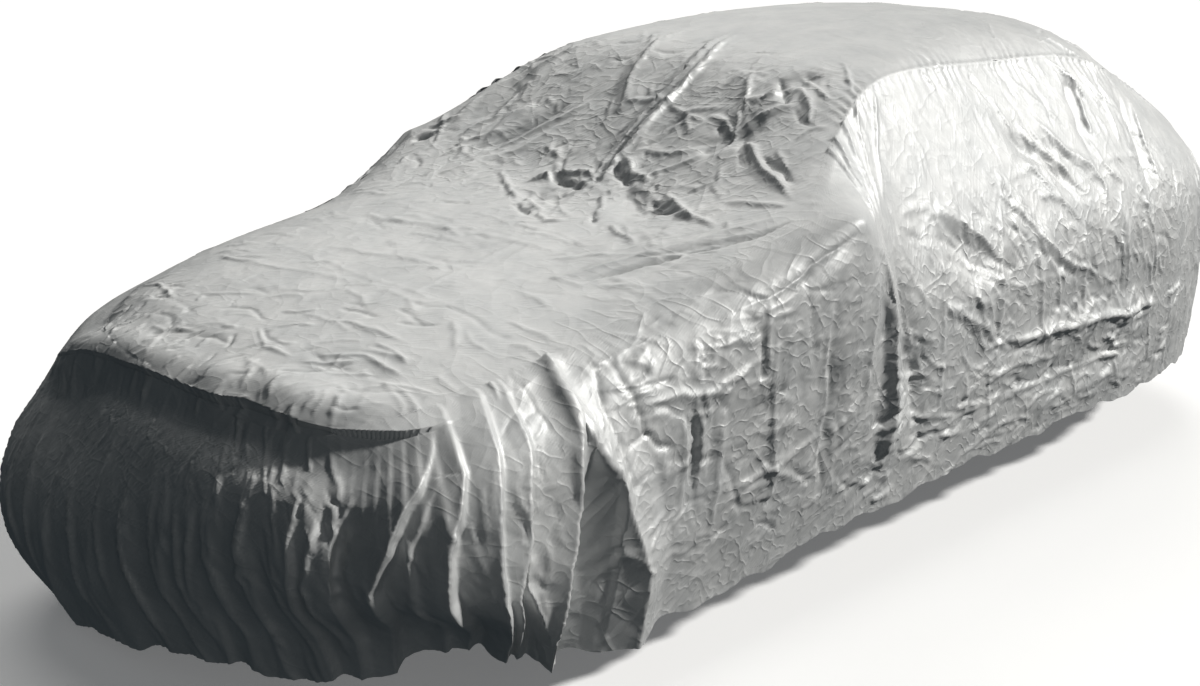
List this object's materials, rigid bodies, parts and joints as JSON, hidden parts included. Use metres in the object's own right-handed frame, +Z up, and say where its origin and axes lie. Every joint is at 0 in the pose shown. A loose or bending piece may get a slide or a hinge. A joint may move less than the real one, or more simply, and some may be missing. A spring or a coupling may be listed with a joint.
{
  "type": "car cover",
  "caption": "Fitted car cover of thin silver cloth, draped as over a family car, with mirror peaks, a gathered front hem and a side seam.",
  "frame": {"origin": "inside face of the cloth at the middle of the top, where the roof of a car carries it; the ground is 1.529 m below", "axes": "+Z up, -Y towards the front of the covered car, +X towards its left side"},
  "size_m": [1.9527, 4.538, 1.5506],
  "materials": {
    "top_panel_cloth": "silver-coated woven cloth, satin",
    "side_panel_left_cloth": "silver-coated woven cloth, satin",
    "side_panel_right_cloth": "silver-coated woven cloth, satin"
  },
  "bodies": {
    "root": {"top_panel": "top_panel_cloth", "side_panel_left": "side_panel_left_cloth", "side_panel_right": "side_panel_right_cloth"}
  },
  "joints": []
}
